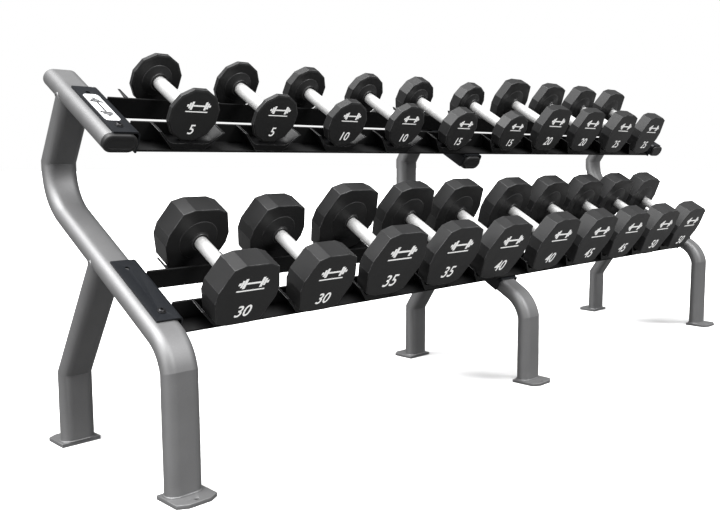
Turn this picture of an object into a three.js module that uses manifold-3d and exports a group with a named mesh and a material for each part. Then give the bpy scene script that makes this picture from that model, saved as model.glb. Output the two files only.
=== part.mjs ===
// Two-tier dumbbell rack, stocked with ten pairs of dumbbells.
// Millimetres, +X along the rack, +Y to the rear, +Z up. The origin is on the floor, under the middle.
import * as THREE from "three";
import { mergeVertices } from "three/addons/utils/BufferGeometryUtils.js";
import Module from "manifold-3d";

const wasm = await Module();
wasm.setup();

// ---- Driving dimensions ------------------------------------------------------------------------

const CLEARANCE = 0.3; // gap between touching pieces

const FRAME_SPACING = 1156; // centre to centre of neighbouring upright frames
const LEG_SPREAD = 429; // front leg to rear leg, centre to centre
const TIER_TILT = 30; // degrees, each tier slopes down to the front

const TUBE_WIDTH = 76; // flat-sided oval tube, along X
const TUBE_DEPTH = 40;
const TUBE_WALL = 2.5;
const TUBE_END_STEPS = 6; // facets of each rounded edge
const BEND_STEPS = 6; // facets of each bend

const LOWER_EDGE_Y = 45; // front edge of the lower tier's bracket, from the front leg
const LOWER_EDGE_Z = 332;
const UPPER_EDGE_Y = 182;
const UPPER_EDGE_Z = 686;

const FRONT_BEND_RADIUS = 98;
const REAR_BEND_RADIUS = 122;
const BACK_STRETCH_Y = 464; // the upright stretch behind the lower tier
const MIDDLE_BACK_OFFSET = 10; // the middle frame's stretch, behind the outer frames'
const RISER_STRETCH = 11; // straight tube between an outer frame's rear bend and its riser's mitre
const RISER_LEAN = 32; // degrees off vertical
const REAR_LEG_JOINT_Z = 163;
const REAR_LEG_LEAN = 32.5;

const FOOT_WIDTH = 90;
const FOOT_LENGTH = 80;
const FOOT_THICKNESS = 8;
const FOOT_CHAMFER_X = 21;
const FOOT_CHAMFER_Y = 12;
const FOOT_HEEL_MARGIN = 1; // foot's inner edge, past the leg
const FOOT_HOLE_RADIUS = 4.5;
const FOOT_HOLE_INSET = 13; // hole centre from the foot's outer edge

const BRACKET_LENGTH = 196;
const BRACKET_THICKNESS = 4;
const BRACKET_OVERHANG = 18; // bracket's free edge, past the tube's centre
const BRACKET_BEND_RADIUS = 10;
const BRACKET_CORNER_RADIUS = 9;
const BRACKET_HOLE_RADIUS = 5;
const BRACKET_HOLE_X = 6;
const BRACKET_HOLE_INSET = 27;
const LABEL_WIDTH = 34;
const LABEL_LENGTH = 113;
const LABEL_CORNER = 8;
const LABEL_THICKNESS = 0.8;
const LABEL_X = 4.5; // label's middle, from the tube's centre
const MIDDLE_FLANGE_DEPTH = 38;

const RAIL_HEIGHT = 47.5; // upright leg of the rail's angle section
const RAIL_SEAT = 45; // flat leg, under the saddles
const RAIL_THICKNESS = 5;
const RAIL_GAP = 100; // between the upright legs of the front and rear rails
const RAIL_MARGIN = 5; // bracket's front edge to the front rail's edge

const TOP_TUBE_FRONT = 5; // tube end, from the bracket's front edge
const TOP_TUBE_REAR = 288;
const CAP_PROUD = 12;
const CAP_PLUG = 20; // length of the plug inside the tube
const CAP_EDGE = 5;

const SADDLES_PER_BAY = 5;
const SADDLE_HALF_WIDTH = 81; // at the wing tips
const SADDLE_LIP = 6; // flat width of a wing tip
const SADDLE_DISH = 27; // depth of the dish under the tips
const SADDLE_FLOOR = 35; // half width of the dish's flat floor
const SADDLE_ARC_STEPS = 4;
const SADDLE_LINK = 3; // thickness of the strip that joins a bay's saddles
const LEFT_BAY_START = 166; // left frame's centre to the left bay's first saddle
const RIGHT_BAY_START = 134; // middle frame's centre to the right bay's first saddle
const SADDLE_PITCH = 218;

const HANDLE_LENGTH = 152; // between a dumbbell's heads
const HANDLE_RADIUS = 15;
const HANDLE_SIDES = 12;
const HEAD_SEAT_GAP = 0.5; // head above the saddle's floor

// Corners of a head's upper right quarter, as shares of its half width. The first is on the flat top.
const REGULAR_HEAD = [
  [0.268, 1],
  [0.732, 0.732],
  [1, 0.268],
];
const BROAD_HEAD = [
  [0.379, 0.98],
  [0.727, 0.863],
  [1, 0.1755],
];

// Each dumbbell: its weight in pounds, its heads' outline, half width and thickness, and the length of
// its handle where that isn't the usual one.
const UPPER_PAIRS = [
  { pounds: 5, outline: REGULAR_HEAD, halfWidth: 59, thickness: 12.5 },
  { pounds: 10, outline: REGULAR_HEAD, halfWidth: 59, thickness: 24 },
  { pounds: 15, outline: REGULAR_HEAD, halfWidth: 59, thickness: 37 },
  { pounds: 20, outline: BROAD_HEAD, halfWidth: 75.5, thickness: 31 },
  { pounds: 25, outline: BROAD_HEAD, halfWidth: 75.5, thickness: 39.5 },
];
const LOWER_PAIRS = [
  { pounds: 30, outline: BROAD_HEAD, halfWidth: 75.5, thickness: 56, handle: 142 },
  { pounds: 35, outline: BROAD_HEAD, halfWidth: 90, thickness: 37 },
  { pounds: 40, outline: BROAD_HEAD, halfWidth: 90, thickness: 43.5 },
  { pounds: 45, outline: BROAD_HEAD, halfWidth: 90, thickness: 49 },
  { pounds: 50, outline: BROAD_HEAD, halfWidth: 90, thickness: 54 },
];
const HEAD_CHAMFER_SHARE = 0.2; // edge chamfer, as a share of the head's thickness
const MAX_HEAD_CHAMFER = 4;

// ---- Derived places ----------------------------------------------------------------------------

const tilt = THREE.MathUtils.degToRad(TIER_TILT);
const alongTier = new THREE.Vector2(Math.cos(tilt), Math.sin(tilt)); // in Y, Z
const acrossTier = new THREE.Vector2(-Math.sin(tilt), Math.cos(tilt));

const footHeel = TUBE_DEPTH / 2 + FOOT_HEEL_MARGIN;
const flangeFace = TUBE_WIDTH / 2 + CLEARANCE; // inner side of a bracket's flange
const flangeOuter = flangeFace + BRACKET_THICKNESS;
const railBack = RAIL_MARGIN + RAIL_SEAT; // front rail's upright face, towards the gap
const rearRailFront = railBack + RAIL_GAP;
const saddleDepth = RAIL_SEAT - RAIL_THICKNESS - 2 * CLEARANCE;
const saddleBottom = -RAIL_HEIGHT + RAIL_THICKNESS + CLEARANCE;
const tierCentre = railBack + RAIL_GAP / 2;
const handleMiddle = tierCentre + BRACKET_THICKNESS;
const railLength = 2 * FRAME_SPACING - 2 * (flangeOuter + CLEARANCE);

// ---- Materials ---------------------------------------------------------------------------------

const coat = (color, roughness, metalness) => new THREE.MeshStandardMaterial({ color, roughness, metalness });
const framePaint = () => coat(0x8f9296, 0.45, 0.6);
const bracketPaint = () => coat(0x2b2e33, 0.5, 0.4);
const railPaint = () => coat(0x101011, 0.55, 0.3);
const capPlastic = () => coat(0x151515, 0.6, 0);
const saddlePlastic = () => coat(0x17181a, 0.5, 0);
const labelFilm = () => coat(0xe4e6e8, 0.35, 0);
const headCoating = () => coat(0x232324, 0.6, 0);

// ---- Solids ------------------------------------------------------------------------------------

function solid(geometry) {
  const bare = geometry.index ? geometry.toNonIndexed() : geometry.clone();
  bare.deleteAttribute("normal");
  bare.deleteAttribute("uv");
  const merged = mergeVertices(bare, 1e-4);
  const mesh = new wasm.Mesh({
    numProp: 3,
    vertProperties: merged.attributes.position.array,
    triVerts: new Uint32Array(merged.index.array),
  });
  return new wasm.Manifold(mesh);
}

function geometryOf(manifold) {
  const mesh = manifold.getMesh();
  const positions = new Float32Array(mesh.numVert * 3);
  for (let i = 0; i < mesh.numVert; i++) {
    const start = i * mesh.numProp;
    positions.set(mesh.vertProperties.subarray(start, start + 3), i * 3);
  }
  const geometry = new THREE.BufferGeometry();
  geometry.setAttribute("position", new THREE.BufferAttribute(positions, 3));
  geometry.setIndex(new THREE.BufferAttribute(mesh.triVerts, 1));
  return geometry;
}

function named(name, manifold, material) {
  const mesh = new THREE.Mesh(geometryOf(manifold), material);
  mesh.name = name;
  return mesh;
}

function box(x0, x1, y0, y1, z0, z1) {
  const geometry = new THREE.BoxGeometry(x1 - x0, y1 - y0, z1 - z0);
  geometry.translate((x0 + x1) / 2, (y0 + y1) / 2, (z0 + z1) / 2);
  return solid(geometry);
}

// A closed outline in X and Z, pushed along +Y from y0 to y1.
function prismAlongY(points, y0, y1) {
  const shape = new THREE.Shape(points.map(([x, z]) => new THREE.Vector2(x, z)));
  const geometry = new THREE.ExtrudeGeometry(shape, { depth: y1 - y0, bevelEnabled: false });
  geometry.rotateX(Math.PI / 2);
  geometry.translate(0, y1, 0);
  return solid(geometry);
}

// A closed outline in Y and Z, pushed along +X from x0 to x1.
function prismAlongX(points, x0, x1) {
  const shape = new THREE.Shape(points.map(([y, z]) => new THREE.Vector2(y, z)));
  const geometry = new THREE.ExtrudeGeometry(shape, { depth: x1 - x0, bevelEnabled: false });
  const turn = new THREE.Matrix4().set(0, 0, 1, x0, 1, 0, 0, 0, 0, 1, 0, 0, 0, 0, 0, 1);
  geometry.applyMatrix4(turn);
  return solid(geometry);
}

// A closed outline in X and Y, pushed up from z0 to z1.
function prismAlongZ(shape, z0, z1, curveSegments = 8) {
  const geometry = new THREE.ExtrudeGeometry(shape, { depth: z1 - z0, bevelEnabled: false, curveSegments });
  geometry.translate(0, 0, z0);
  return solid(geometry);
}

function roundHole(x, y, radius) {
  const hole = new THREE.Path();
  hole.absarc(x, y, radius, 0, 2 * Math.PI, true);
  return hole;
}

// ---- Flat-sided oval tube ----------------------------------------------------------------------

// Half outline of the tube's section: offsets along X, and across the tube's path.
function ovalSection(inset) {
  const radius = TUBE_DEPTH / 2 - inset;
  const flat = TUBE_WIDTH / 2 - TUBE_DEPTH / 2;
  const section = [];
  for (const side of [1, -1]) {
    for (let i = 0; i <= TUBE_END_STEPS; i++) {
      const angle = (i / TUBE_END_STEPS) * Math.PI - Math.PI / 2;
      section.push([side * (flat + radius * Math.cos(angle)), side * radius * Math.sin(angle)]);
    }
  }
  return section;
}

// Sweeps the section along a path of stations in the Y-Z plane. A station has a place and the
// direction across the path, whose length keeps the tube's depth through a mitre.
function sweep(stations, inset) {
  const section = ovalSection(inset);
  const count = section.length;
  const positions = [];
  for (const { y, z, acrossY, acrossZ } of stations) {
    for (const [x, across] of section) {
      positions.push(x, y + across * acrossY, z + across * acrossZ);
    }
  }
  const index = [];
  for (let s = 0; s + 1 < stations.length; s++) {
    for (let i = 0; i < count; i++) {
      const a = s * count + i;
      const b = s * count + ((i + 1) % count);
      index.push(a, b + count, b, a, a + count, b + count);
    }
  }
  const last = (stations.length - 1) * count;
  for (let i = 1; i + 1 < count; i++) {
    index.push(0, i, i + 1);
    index.push(last, last + i + 1, last + i);
  }
  const geometry = new THREE.BufferGeometry();
  geometry.setAttribute("position", new THREE.Float32BufferAttribute(positions, 3));
  geometry.setIndex(index);
  return solid(geometry);
}

// Stations of a path through the given corners. A corner with a radius becomes a bend, and a corner
// without one becomes a mitre.
function stationsThrough(corners) {
  const stations = [];
  const heading = (from, to) => new THREE.Vector2(to.y - from.y, to.z - from.z).normalize();
  const put = (y, z, direction, stretch = 1) =>
    stations.push({ y, z, acrossY: -direction.y * stretch, acrossZ: direction.x * stretch });
  corners.forEach((corner, i) => {
    const before = i > 0 ? heading(corners[i - 1], corner) : heading(corner, corners[i + 1]);
    const after = i + 1 < corners.length ? heading(corner, corners[i + 1]) : before;
    const turn = Math.atan2(before.cross(after), before.dot(after));
    if (!corner.radius) {
      const middle = before.clone().add(after).normalize();
      put(corner.y, corner.z, middle, 1 / Math.cos(turn / 2));
      return;
    }
    const tangent = corner.radius * Math.tan(Math.abs(turn) / 2);
    const side = Math.sign(turn);
    const startY = corner.y - before.x * tangent;
    const startZ = corner.z - before.y * tangent;
    const centreY = startY - before.y * side * corner.radius;
    const centreZ = startZ + before.x * side * corner.radius;
    for (let k = 0; k <= BEND_STEPS; k++) {
      const direction = before.clone().rotateAround(new THREE.Vector2(), (turn * k) / BEND_STEPS);
      const y = centreY + direction.y * side * corner.radius;
      const z = centreZ - direction.x * side * corner.radius;
      put(y, z, direction);
    }
  });
  return stations;
}

function hollowTube(corners) {
  const stations = stationsThrough(corners);
  return sweep(stations, 0).subtract(sweep(lengthened(stations), TUBE_WALL));
}

// The same path, run on a little past both ends, so that the bore opens them.
function lengthened(stations) {
  const past = 1;
  const copy = stations.map((station) => ({ ...station }));
  const ends = [
    [copy[0], copy[1]],
    [copy[copy.length - 1], copy[copy.length - 2]],
  ];
  for (const [end, next] of ends) {
    const away = new THREE.Vector2(end.y - next.y, end.z - next.z).normalize();
    end.y += away.x * past;
    end.z += away.y * past;
  }
  return copy;
}

// ---- Upright frame -----------------------------------------------------------------------------

// Places of one frame in Y and Z. The middle frame's tubes pass under the rails, so its tier
// surfaces are lower by `drop`, measured square to the tier.
function framePlaces(drop) {
  const tubeAxis = -drop - BRACKET_THICKNESS - CLEARANCE - TUBE_DEPTH / 2;
  const point = (edgeY, edgeZ, along, across) => ({
    y: edgeY + along * alongTier.x + across * acrossTier.x,
    z: edgeZ + along * alongTier.y + across * acrossTier.y,
  });
  const lower = point(LOWER_EDGE_Y, LOWER_EDGE_Z, 0, tubeAxis);
  const upper = point(UPPER_EDGE_Y, UPPER_EDGE_Z, 0, tubeAxis);
  const slope = Math.tan(tilt);
  const onLower = (y) => lower.z + (y - lower.y) * slope;
  const back = BACK_STRETCH_Y + (drop > 0 ? MIDDLE_BACK_OFFSET : 0);
  return { lower, upper, slope, onLower, back };
}

// Height where a line that leans forward from (y, z) reaches the line through `through` at the tier's slope.
function meetTier(y, z, lean, through, slope) {
  const run = Math.tan(THREE.MathUtils.degToRad(lean));
  const rise = (through.z + (y - through.y) * slope - z) / (1 + run * slope);
  return { y: y - rise * run, z: z + rise };
}

// What a tube that meets a tier's tube from below must lose: the tier's tube with its clearance, and
// everything above that tube's axis.
function copeFor(axisPoint) {
  const reach = 800;
  const thick = 400;
  const corner = (along, across) => ({
    y: axisPoint.y + along * alongTier.x + across * acrossTier.x,
    z: axisPoint.z + along * alongTier.y + across * acrossTier.y,
  });
  const slab = [
    corner(-reach, 0),
    corner(reach, 0),
    corner(reach, thick),
    corner(-reach, thick),
  ].map(({ y, z }) => [y, z]);
  const tube = sweep(stationsThrough([corner(-reach, 0), corner(reach, 0)]), -CLEARANCE);
  return prismAlongX(slab, -TUBE_WIDTH, TUBE_WIDTH).add(tube);
}

// All risers are mitred on at one height, which the outer frames' rear bend sets.
function riserJointHeight() {
  const bendRise = REAR_BEND_RADIUS * Math.tan((Math.PI / 2 - tilt) / 2);
  return framePlaces(0).onLower(BACK_STRETCH_Y) + bendRise + RISER_STRETCH;
}

function bentTube(places) {
  const floor = FOOT_THICKNESS + CLEARANCE;
  const joint = { y: places.back, z: riserJointHeight() };
  const top = meetTier(joint.y, joint.z, RISER_LEAN, places.upper, places.slope);
  const tube = hollowTube([
    { y: 0, z: floor },
    { y: 0, z: places.onLower(0), radius: FRONT_BEND_RADIUS },
    { y: places.back, z: places.onLower(places.back), radius: REAR_BEND_RADIUS },
    joint,
    top,
  ]);
  return tube.subtract(copeFor(places.upper));
}

function rearLeg(places) {
  const floor = FOOT_THICKNESS + CLEARANCE;
  const joint = { y: LEG_SPREAD, z: REAR_LEG_JOINT_Z };
  const top = meetTier(joint.y, joint.z, REAR_LEG_LEAN, places.lower, places.slope);
  const leg = hollowTube([{ y: LEG_SPREAD, z: floor }, joint, top]);
  return leg.subtract(copeFor(places.lower));
}

// The upper tier's own tube, in the tier's frame: +Y up the slope, +Z square to it.
function topTube(drop) {
  const axis = -drop - BRACKET_THICKNESS - CLEARANCE - TUBE_DEPTH / 2;
  const run = (from, to) => [
    { y: from, z: axis, acrossY: 0, acrossZ: 1 },
    { y: to, z: axis, acrossY: 0, acrossZ: 1 },
  ];
  const bore = sweep(run(TOP_TUBE_FRONT - 1, TOP_TUBE_REAR - TUBE_WALL), TUBE_WALL);
  return sweep(run(TOP_TUBE_FRONT, TOP_TUBE_REAR), 0).subtract(bore);
}

function endCap(drop) {
  const axis = -drop - BRACKET_THICKNESS - CLEARANCE - TUBE_DEPTH / 2;
  const face = TOP_TUBE_FRONT - CLEARANCE;
  const at = (y, inset) => ({ y, z: axis, acrossY: 0, acrossZ: 1, inset });
  const slab = sweep([at(face - CAP_PROUD + CAP_EDGE), at(face)], 0);
  const rim = sweep([at(face - CAP_PROUD), at(face)], CAP_EDGE);
  const plug = sweep([at(face - 1), at(face + CAP_PLUG)], TUBE_WALL + CLEARANCE);
  return slab.add(rim).add(plug);
}

function foot(outward) {
  const heel = -footHeel;
  const toe = FOOT_LENGTH - footHeel;
  const half = FOOT_WIDTH / 2;
  const shape = new THREE.Shape();
  shape.moveTo(-half, heel);
  shape.lineTo(half, heel);
  shape.lineTo(half, toe - FOOT_CHAMFER_Y);
  shape.lineTo(half - FOOT_CHAMFER_X, toe);
  shape.lineTo(-half + FOOT_CHAMFER_X, toe);
  shape.lineTo(-half, toe - FOOT_CHAMFER_Y);
  shape.holes.push(roundHole(0, toe - FOOT_HOLE_INSET, FOOT_HOLE_RADIUS));
  const plate = prismAlongZ(shape, 0, FOOT_THICKNESS);
  return outward > 0 ? plate : plate.rotate([0, 0, 180]);
}

// ---- Brackets and rails, in the tier's frame ----------------------------------------------------

function bracketPlate(freeEdge, bendEdge, top) {
  const corner = BRACKET_CORNER_RADIUS;
  const shape = new THREE.Shape();
  shape.moveTo(freeEdge, 0);
  shape.lineTo(bendEdge, 0);
  shape.lineTo(bendEdge, BRACKET_LENGTH - corner);
  shape.absarc(bendEdge - corner, BRACKET_LENGTH - corner, corner, 0, Math.PI / 2, false);
  shape.lineTo(freeEdge, BRACKET_LENGTH);
  for (const y of [BRACKET_HOLE_INSET, BRACKET_LENGTH - BRACKET_HOLE_INSET]) {
    shape.holes.push(roundHole(BRACKET_HOLE_X, y, BRACKET_HOLE_RADIUS));
  }
  return prismAlongZ(shape, top - BRACKET_THICKNESS, top);
}

// The bend and the flange that hangs from the plate, beside the tube.
function bracketFlange(plateEdge, top, bottom) {
  const outer = BRACKET_BEND_RADIUS;
  const inner = outer - BRACKET_THICKNESS;
  const steps = 4;
  const arc = (radius, turnBack) => {
    const points = [];
    for (let i = 0; i <= steps; i++) {
      const share = turnBack ? (steps - i) / steps : i / steps;
      const angle = (share * Math.PI) / 2;
      points.push([
        flangeOuter - outer + radius * Math.sin(angle),
        top - outer + radius * Math.cos(angle),
      ]);
    }
    return points;
  };
  const outline = [
    [plateEdge, top],
    ...arc(outer, false),
    [flangeOuter, bottom],
    [flangeFace, bottom],
    ...arc(inner, true),
    [plateEdge, top - BRACKET_THICKNESS],
  ];
  return prismAlongY([...outline].reverse(), 0, BRACKET_LENGTH);
}

function outerBracket() {
  const plateEdge = flangeOuter - BRACKET_BEND_RADIUS;
  const plate = bracketPlate(-BRACKET_OVERHANG, plateEdge, 0);
  return plate.add(bracketFlange(plateEdge - 2, 0, -RAIL_HEIGHT));
}

// The middle frame's bracket lies under the rails and has a flange on each side of the tube.
function middleBracket(drop) {
  const plateEdge = flangeOuter - BRACKET_BEND_RADIUS;
  const plate = bracketPlate(-plateEdge, plateEdge, -drop);
  const flange = bracketFlange(plateEdge - 2, -drop, -drop - MIDDLE_FLANGE_DEPTH);
  return plate.add(flange).add(flange.mirror([1, 0, 0]));
}

// A thin rectangle with round corners that lies on a bracket, midway between its holes.
function labelPlate() {
  const halfX = LABEL_WIDTH / 2;
  const halfY = LABEL_LENGTH / 2;
  const r = LABEL_CORNER;
  const shape = new THREE.Shape();
  shape.absarc(halfX - r, halfY - r, r, 0, Math.PI / 2, false);
  shape.absarc(-halfX + r, halfY - r, r, Math.PI / 2, Math.PI, false);
  shape.absarc(-halfX + r, -halfY + r, r, Math.PI, 1.5 * Math.PI, false);
  shape.absarc(halfX - r, -halfY + r, r, 1.5 * Math.PI, 2 * Math.PI, false);
  return prismAlongZ(shape, CLEARANCE, CLEARANCE + LABEL_THICKNESS, 4);
}

function frontRail() {
  const outline = [
    [RAIL_MARGIN, -RAIL_HEIGHT],
    [railBack, -RAIL_HEIGHT],
    [railBack, 0],
    [railBack - RAIL_THICKNESS, 0],
    [railBack - RAIL_THICKNESS, -RAIL_HEIGHT + RAIL_THICKNESS],
    [RAIL_MARGIN, -RAIL_HEIGHT + RAIL_THICKNESS],
  ];
  return prismAlongX(outline, -railLength / 2, railLength / 2);
}

// Mirrors a solid of the tier's front half onto its rear half.
function toRear(manifold) {
  return manifold.mirror([0, 1, 0]).translate([0, 2 * tierCentre, 0]);
}

// ---- Saddles -----------------------------------------------------------------------------------

// Half of the dish, from its flat floor outwards. An arc turns up by 45 degrees and runs on straight
// to the lip.
function dishProfile() {
  const lipInner = SADDLE_HALF_WIDTH - SADDLE_LIP;
  const radius = (lipInner - SADDLE_FLOOR - SADDLE_DISH) / (Math.SQRT2 - 1);
  const points = [];
  for (let i = 0; i <= SADDLE_ARC_STEPS; i++) {
    const angle = (i / SADDLE_ARC_STEPS) * (Math.PI / 4);
    points.push([
      SADDLE_FLOOR + radius * Math.sin(angle),
      -SADDLE_DISH + radius * (1 - Math.cos(angle)),
    ]);
  }
  return [...points, [lipInner, 0]];
}

function saddleOutline(centre) {
  const right = dishProfile();
  right.push([SADDLE_HALF_WIDTH, 0], [SADDLE_HALF_WIDTH + saddleBottom, saddleBottom]);
  const left = right.map(([x, z]) => [-x, z]).reverse();
  return [...left, ...right].map(([x, z]) => [centre + x, z]).reverse();
}

function saddleStrip(centres) {
  const front = RAIL_MARGIN + CLEARANCE;
  const rear = front + saddleDepth;
  const ends = SADDLE_HALF_WIDTH + saddleBottom;
  const link = box(
    Math.min(...centres) - ends,
    Math.max(...centres) + ends,
    front,
    rear,
    saddleBottom,
    saddleBottom + SADDLE_LINK,
  );
  return centres.reduce((strip, centre) => strip.add(prismAlongY(saddleOutline(centre), front, rear)), link);
}

// ---- Dumbbells ---------------------------------------------------------------------------------

function headShape(outline, halfWidth) {
  const right = [...outline, ...outline.map(([x, z]) => [x, -z]).reverse()];
  const left = right.map(([x, z]) => [-x, -z]);
  const corners = [...right, ...left].map(([x, z]) => new THREE.Vector2(x * halfWidth, z * halfWidth));
  return new THREE.Shape(corners);
}

// Height of a profile at x, on straight lines between its points.
function heightAt(profile, x) {
  const next = profile.findIndex(([px]) => px >= x);
  if (next <= 0) {
    return profile[0][1];
  }
  const [x0, z0] = profile[next - 1];
  const [x1, z1] = profile[next];
  return z0 + ((z1 - z0) * (x - x0)) / (x1 - x0);
}

// Height of a head's underside when it has come to rest in the dish: a small head on the floor,
// a wide one on the two slopes.
function seatHeight({ outline, halfWidth }) {
  const dish = dishProfile();
  const height = outline[0][1];
  const under = outline.map(([x, z]) => [x * halfWidth, (height - z) * halfWidth]);
  const reach = Math.min(halfWidth, SADDLE_HALF_WIDTH - SADDLE_LIP);
  const places = [...dish, ...under].map(([x]) => x).filter((x) => x <= reach);
  return Math.max(...places.map((x) => heightAt(dish, x) - heightAt(under, x)));
}

function head({ outline, halfWidth, thickness }) {
  const chamfer = Math.min(MAX_HEAD_CHAMFER, HEAD_CHAMFER_SHARE * thickness);
  const geometry = new THREE.ExtrudeGeometry(headShape(outline, halfWidth), {
    depth: thickness - 2 * chamfer,
    bevelEnabled: true,
    bevelThickness: chamfer,
    bevelSize: chamfer,
    bevelOffset: -chamfer,
    bevelSegments: 1,
  });
  geometry.rotateX(Math.PI / 2);
  geometry.translate(0, thickness - chamfer, 0);
  return solid(geometry);
}

function handleLength({ handle = HANDLE_LENGTH }) {
  return handle;
}

// A dumbbell about its own middle, with its handle along Y.
function dumbbell(pair) {
  const grip = new THREE.CylinderGeometry(
    HANDLE_RADIUS,
    HANDLE_RADIUS,
    handleLength(pair) + pair.thickness,
    HANDLE_SIDES,
  );
  const rearHead = head(pair).translate([0, handleLength(pair) / 2, 0]);
  const frontHead = rearHead.mirror([0, 1, 0]);
  return solid(grip).add(rearHead).add(frontHead);
}

// ---- Assembly ----------------------------------------------------------------------------------

const rack = new THREE.Group();

function tierGroup(edgeY, edgeZ) {
  const group = new THREE.Group();
  group.position.set(0, edgeY, edgeZ);
  group.rotation.x = tilt;
  return group;
}

const rackBody = new THREE.Group();
const lowerTier = tierGroup(LOWER_EDGE_Y, LOWER_EDGE_Z);
const upperTier = tierGroup(UPPER_EDGE_Y, UPPER_EDGE_Z);
rackBody.add(lowerTier, upperTier);

// The footprint runs from the front feet's toes to the rear feet's toes. Its middle is the origin.
rackBody.position.y = -LEG_SPREAD / 2;
rack.add(rackBody);

const middleDrop = RAIL_HEIGHT + CLEARANCE;
const frames = [
  { name: "left", x: -FRAME_SPACING, drop: 0, side: 1 },
  { name: "middle", x: 0, drop: middleDrop, side: 0 },
  { name: "right", x: FRAME_SPACING, drop: 0, side: -1 },
];

for (const { name, x, drop, side } of frames) {
  const places = framePlaces(drop);
  const frame = new THREE.Group();
  frame.position.x = x;
  frame.add(named(`${name}_bent_tube`, bentTube(places), framePaint()));
  frame.add(named(`${name}_rear_leg`, rearLeg(places), framePaint()));
  frame.add(named(`${name}_front_foot`, foot(-1), framePaint()));
  const rearFoot = named(`${name}_rear_foot`, foot(1), framePaint());
  rearFoot.position.y = LEG_SPREAD;
  frame.add(rearFoot);
  rackBody.add(frame);

  const tube = named(`${name}_top_tube`, topTube(drop), framePaint());
  const cap = named(`${name}_end_cap`, endCap(drop), capPlastic());
  tube.position.x = x;
  cap.position.x = x;
  upperTier.add(tube, cap);

  for (const [tierName, tier] of [["lower", lowerTier], ["upper", upperTier]]) {
    const shape = side === 0 ? middleBracket(drop) : outerBracket();
    const turned = side < 0 ? shape.mirror([1, 0, 0]) : shape;
    const bracket = named(`${name}_${tierName}_bracket`, turned, bracketPaint());
    bracket.position.x = x;
    tier.add(bracket);
  }
}

const bays = [
  { name: "left", start: -FRAME_SPACING + LEFT_BAY_START },
  { name: "right", start: RIGHT_BAY_START },
];
const steps = Array.from({ length: SADDLES_PER_BAY }, (_, i) => i * SADDLE_PITCH);
const saddleCentres = (bay) => steps.map((step) => bay.start + step);
const allCentres = bays.flatMap(saddleCentres);

function fillTier(tierName, tier, pairs) {
  const rail = frontRail();
  tier.add(named(`${tierName}_front_rail`, rail, railPaint()));
  tier.add(named(`${tierName}_rear_rail`, toRear(rail), railPaint()));
  for (const bay of bays) {
    const strip = saddleStrip(saddleCentres(bay));
    tier.add(named(`${tierName}_front_saddles_${bay.name}`, strip, saddlePlastic()));
    tier.add(named(`${tierName}_rear_saddles_${bay.name}`, toRear(strip), saddlePlastic()));
  }
  pairs.forEach((pair, pairIndex) => {
    ["a", "b"].forEach((letter, i) => {
      const mesh = named(`dumbbell_${pair.pounds}lb_${letter}`, dumbbell(pair), headCoating());
      const seat = seatHeight(pair) + HEAD_SEAT_GAP + pair.outline[0][1] * pair.halfWidth;
      const middle = handleMiddle + (HANDLE_LENGTH - handleLength(pair)) / 2;
      mesh.position.set(allCentres[2 * pairIndex + i], middle, seat);
      tier.add(mesh);
    });
  });
}

const label = named("label_plate", labelPlate(), labelFilm());
label.position.set(-FRAME_SPACING + LABEL_X, BRACKET_LENGTH / 2 + BRACKET_THICKNESS, 0);
upperTier.add(label);

fillTier("lower", lowerTier, LOWER_PAIRS);
fillTier("upper", upperTier, UPPER_PAIRS);

export default rack;
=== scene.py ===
import math
import bmesh
import bpy
from mathutils import Matrix, Vector


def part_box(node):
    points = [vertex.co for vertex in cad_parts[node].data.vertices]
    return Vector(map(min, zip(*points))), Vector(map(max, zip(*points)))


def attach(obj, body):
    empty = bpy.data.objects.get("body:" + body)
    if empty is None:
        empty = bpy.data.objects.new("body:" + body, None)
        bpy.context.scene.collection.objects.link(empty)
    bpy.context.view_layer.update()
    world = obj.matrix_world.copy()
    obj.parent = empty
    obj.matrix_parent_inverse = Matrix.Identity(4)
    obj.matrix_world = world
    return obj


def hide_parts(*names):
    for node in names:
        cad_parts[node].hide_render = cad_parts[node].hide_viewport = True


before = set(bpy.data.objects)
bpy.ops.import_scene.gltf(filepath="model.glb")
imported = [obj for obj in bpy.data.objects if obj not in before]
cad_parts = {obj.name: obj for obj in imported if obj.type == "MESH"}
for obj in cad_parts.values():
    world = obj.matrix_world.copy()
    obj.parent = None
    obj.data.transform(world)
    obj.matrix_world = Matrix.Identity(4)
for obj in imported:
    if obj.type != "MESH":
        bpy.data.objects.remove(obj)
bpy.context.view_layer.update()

# ---- Sizes of the rack, in millimetres ----------------------------------------------------------

MM = 0.001
GAP = 0.3                    # between pieces that touch
FRAME_SPACING = 1156         # between the middles of two frames
LEG_SPREAD = 429             # between a frame's front and rear legs
TILT = math.radians(30)
TIER_EDGES = {"lower": (45, 332), "upper": (182, 686)}   # Y from the front leg, and Z
TIER_MIDDLE = 100            # along the slope, from the tier's front edge
TUBE_WIDTH, TUBE_DEPTH = 76, 40
FRONT_BEND, REAR_BEND = 98, 122
BACK_Y, MIDDLE_BACK_OFFSET = 464, 10
RISER_STRETCH = 11
RISER_LEAN, REAR_LEG_LEAN = math.radians(32), math.radians(32.5)
REAR_LEG_JOINT_Z = 163
FOOT_THICKNESS = 8
TOP_TUBE = (5, 288)
CAP_PROUD = 12
PLATE = 4
MIDDLE_DROP = 47.8           # how much lower the middle brackets' plates lie than the others'
RAIL_MARGIN, RAIL_HEIGHT, RAIL_THICKNESS = 5, 47.5, 5
SADDLE_DEPTH = 39.4
SADDLE_HALF, SADDLE_LIP, SADDLE_DISH, SADDLE_FLOOR = 81, 6, 27, 35

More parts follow.
